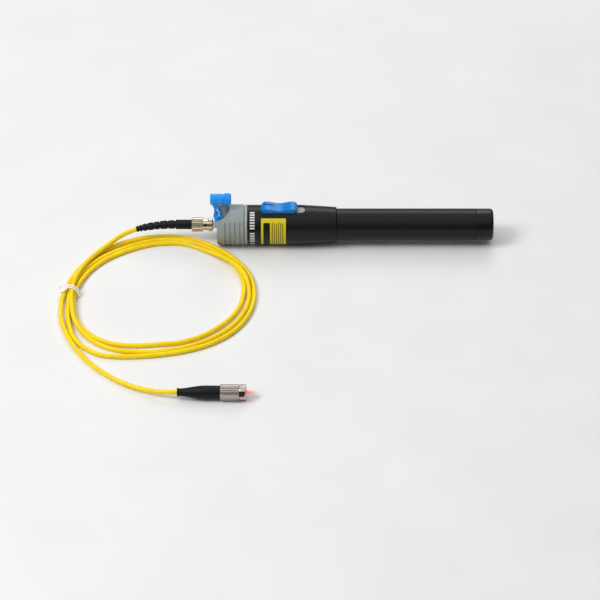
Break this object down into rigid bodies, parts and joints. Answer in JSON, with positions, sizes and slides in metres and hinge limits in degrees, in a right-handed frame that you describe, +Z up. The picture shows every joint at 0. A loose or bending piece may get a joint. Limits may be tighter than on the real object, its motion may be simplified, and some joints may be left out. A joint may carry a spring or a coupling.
{
  "type": "visual fault locator",
  "caption": "Pen-shaped visual fault locator with a slide switch, a hinged dust cap on its port and a coiled fibre patch cord plugged in.",
  "frame": {"origin": "the floor point below the middle of the pen's own box, without the cord and its plugs", "axes": "+X from the fibre port to the tail, +Z up, +Y to the far side as seen with the switch on top and the port on the left"},
  "size_m": [0.2799, 0.1779, 0.0375],
  "materials": {
    "head_grey_abs": "fine moulded texture",
    "ring_grey": "smooth moulded",
    "barrel_black_anodised": "matt anodised",
    "tube_black_anodised": "matt anodised",
    "tail_black_anodised": "satin anodised",
    "switch_blue_abs": "satin moulded",
    "plate_grey_abs": "smooth moulded",
    "cap_blue_pp": "satin moulded",
    "nickel": "bright plated",
    "satin_nickel": "satin plated",
    "zirconia": "polished",
    "brass_module": "turned",
    "diode_steel": "drawn",
    "board_green": "solder mask",
    "switch_can_steel": "tinned",
    "slider_black": "moulded",
    "carrier_black": "moulded",
    "contact_brass": "plated",
    "cell_wrap": "shrink sleeve",
    "seal_rubber": "moulded",
    "spring_steel": "drawn wire",
    "boot_black": "moulded",
    "cord_yellow_pvc": "extruded",
    "tie_white": "coated wire"
  },
  "bodies": {
    "pen": {"head_shell": "head_grey_abs", "head_ring": "ring_grey", "port_tube": "nickel", "ceramic_sleeve": "zirconia", "front_barrel": "barrel_black_anodised", "switch_plate": "plate_grey_abs", "switch_body": "switch_can_steel", "laser_module": "brass_module", "laser_diode": "diode_steel", "driver_board": "board_green", "contact_carrier": "carrier_black", "positive_contact": "contact_brass", "front_cell": "cell_wrap", "rear_cell": "cell_wrap", "battery_tube": "tube_black_anodised", "tail_seal": "seal_rubber", "near_core": "nickel", "near_ferrule": "zirconia", "near_spring": "spring_steel", "near_boot": "boot_black", "cord_lead_in": "cord_yellow_pvc", "cord_coil": "cord_yellow_pvc", "cord_lead_out": "cord_yellow_pvc", "twist_tie": "tie_white", "far_core": "nickel", "far_ferrule": "zirconia", "far_spring": "spring_steel", "far_boot": "boot_black"},
    "switch": {"slide_button": "switch_blue_abs", "switch_slider": "slider_black"},
    "cap": {"dust_cap": "cap_blue_pp"},
    "tail_insert": {"tail_spring": "spring_steel", "spring_disc": "contact_brass"},
    "tail": {"tail_cap": "tail_black_anodised"},
    "near_bayonet": {"near_nut": "nickel"},
    "far_bayonet": {"far_nut": "satin_nickel"}
  },
  "joints": [
    {"name": "switch_slide", "type": "slide", "parent": "pen", "child": "switch", "axis": [1, 0, 0], "range_m": [0, 0.0046]},
    {"name": "cap_flip", "type": "hinge", "parent": "pen", "child": "cap", "pos_m": [-0.08605, 0, 0.0192], "axis": [0, -1, 0], "range_deg": [-20, 65]},
    {"name": "tail_travel", "type": "slide", "parent": "pen", "child": "tail_insert", "axis": [1, 0, 0], "range_m": [0, 0.006]},
    {"name": "tail_turn", "type": "hinge", "parent": "tail_insert", "child": "tail", "pos_m": [0.08485, 0, 0.013], "axis": [1, 0, 0], "range_deg": [0, 2160]},
    {"name": "near_nut_turn", "type": "hinge", "parent": "pen", "child": "near_bayonet", "pos_m": [-0.09615, 0, 0.013], "axis": [1, 0, 0], "continuous": true},
    {"name": "far_nut_turn", "type": "hinge", "parent": "pen", "child": "far_bayonet", "pos_m": [-0.0734, -0.1599, 0.005], "axis": [1, 0, 0], "continuous": true}
  ],
  "couplings": [
    {"joint": "tail_turn", "follows": "tail_travel", "rad_per_m": 6283.1}
  ]
}
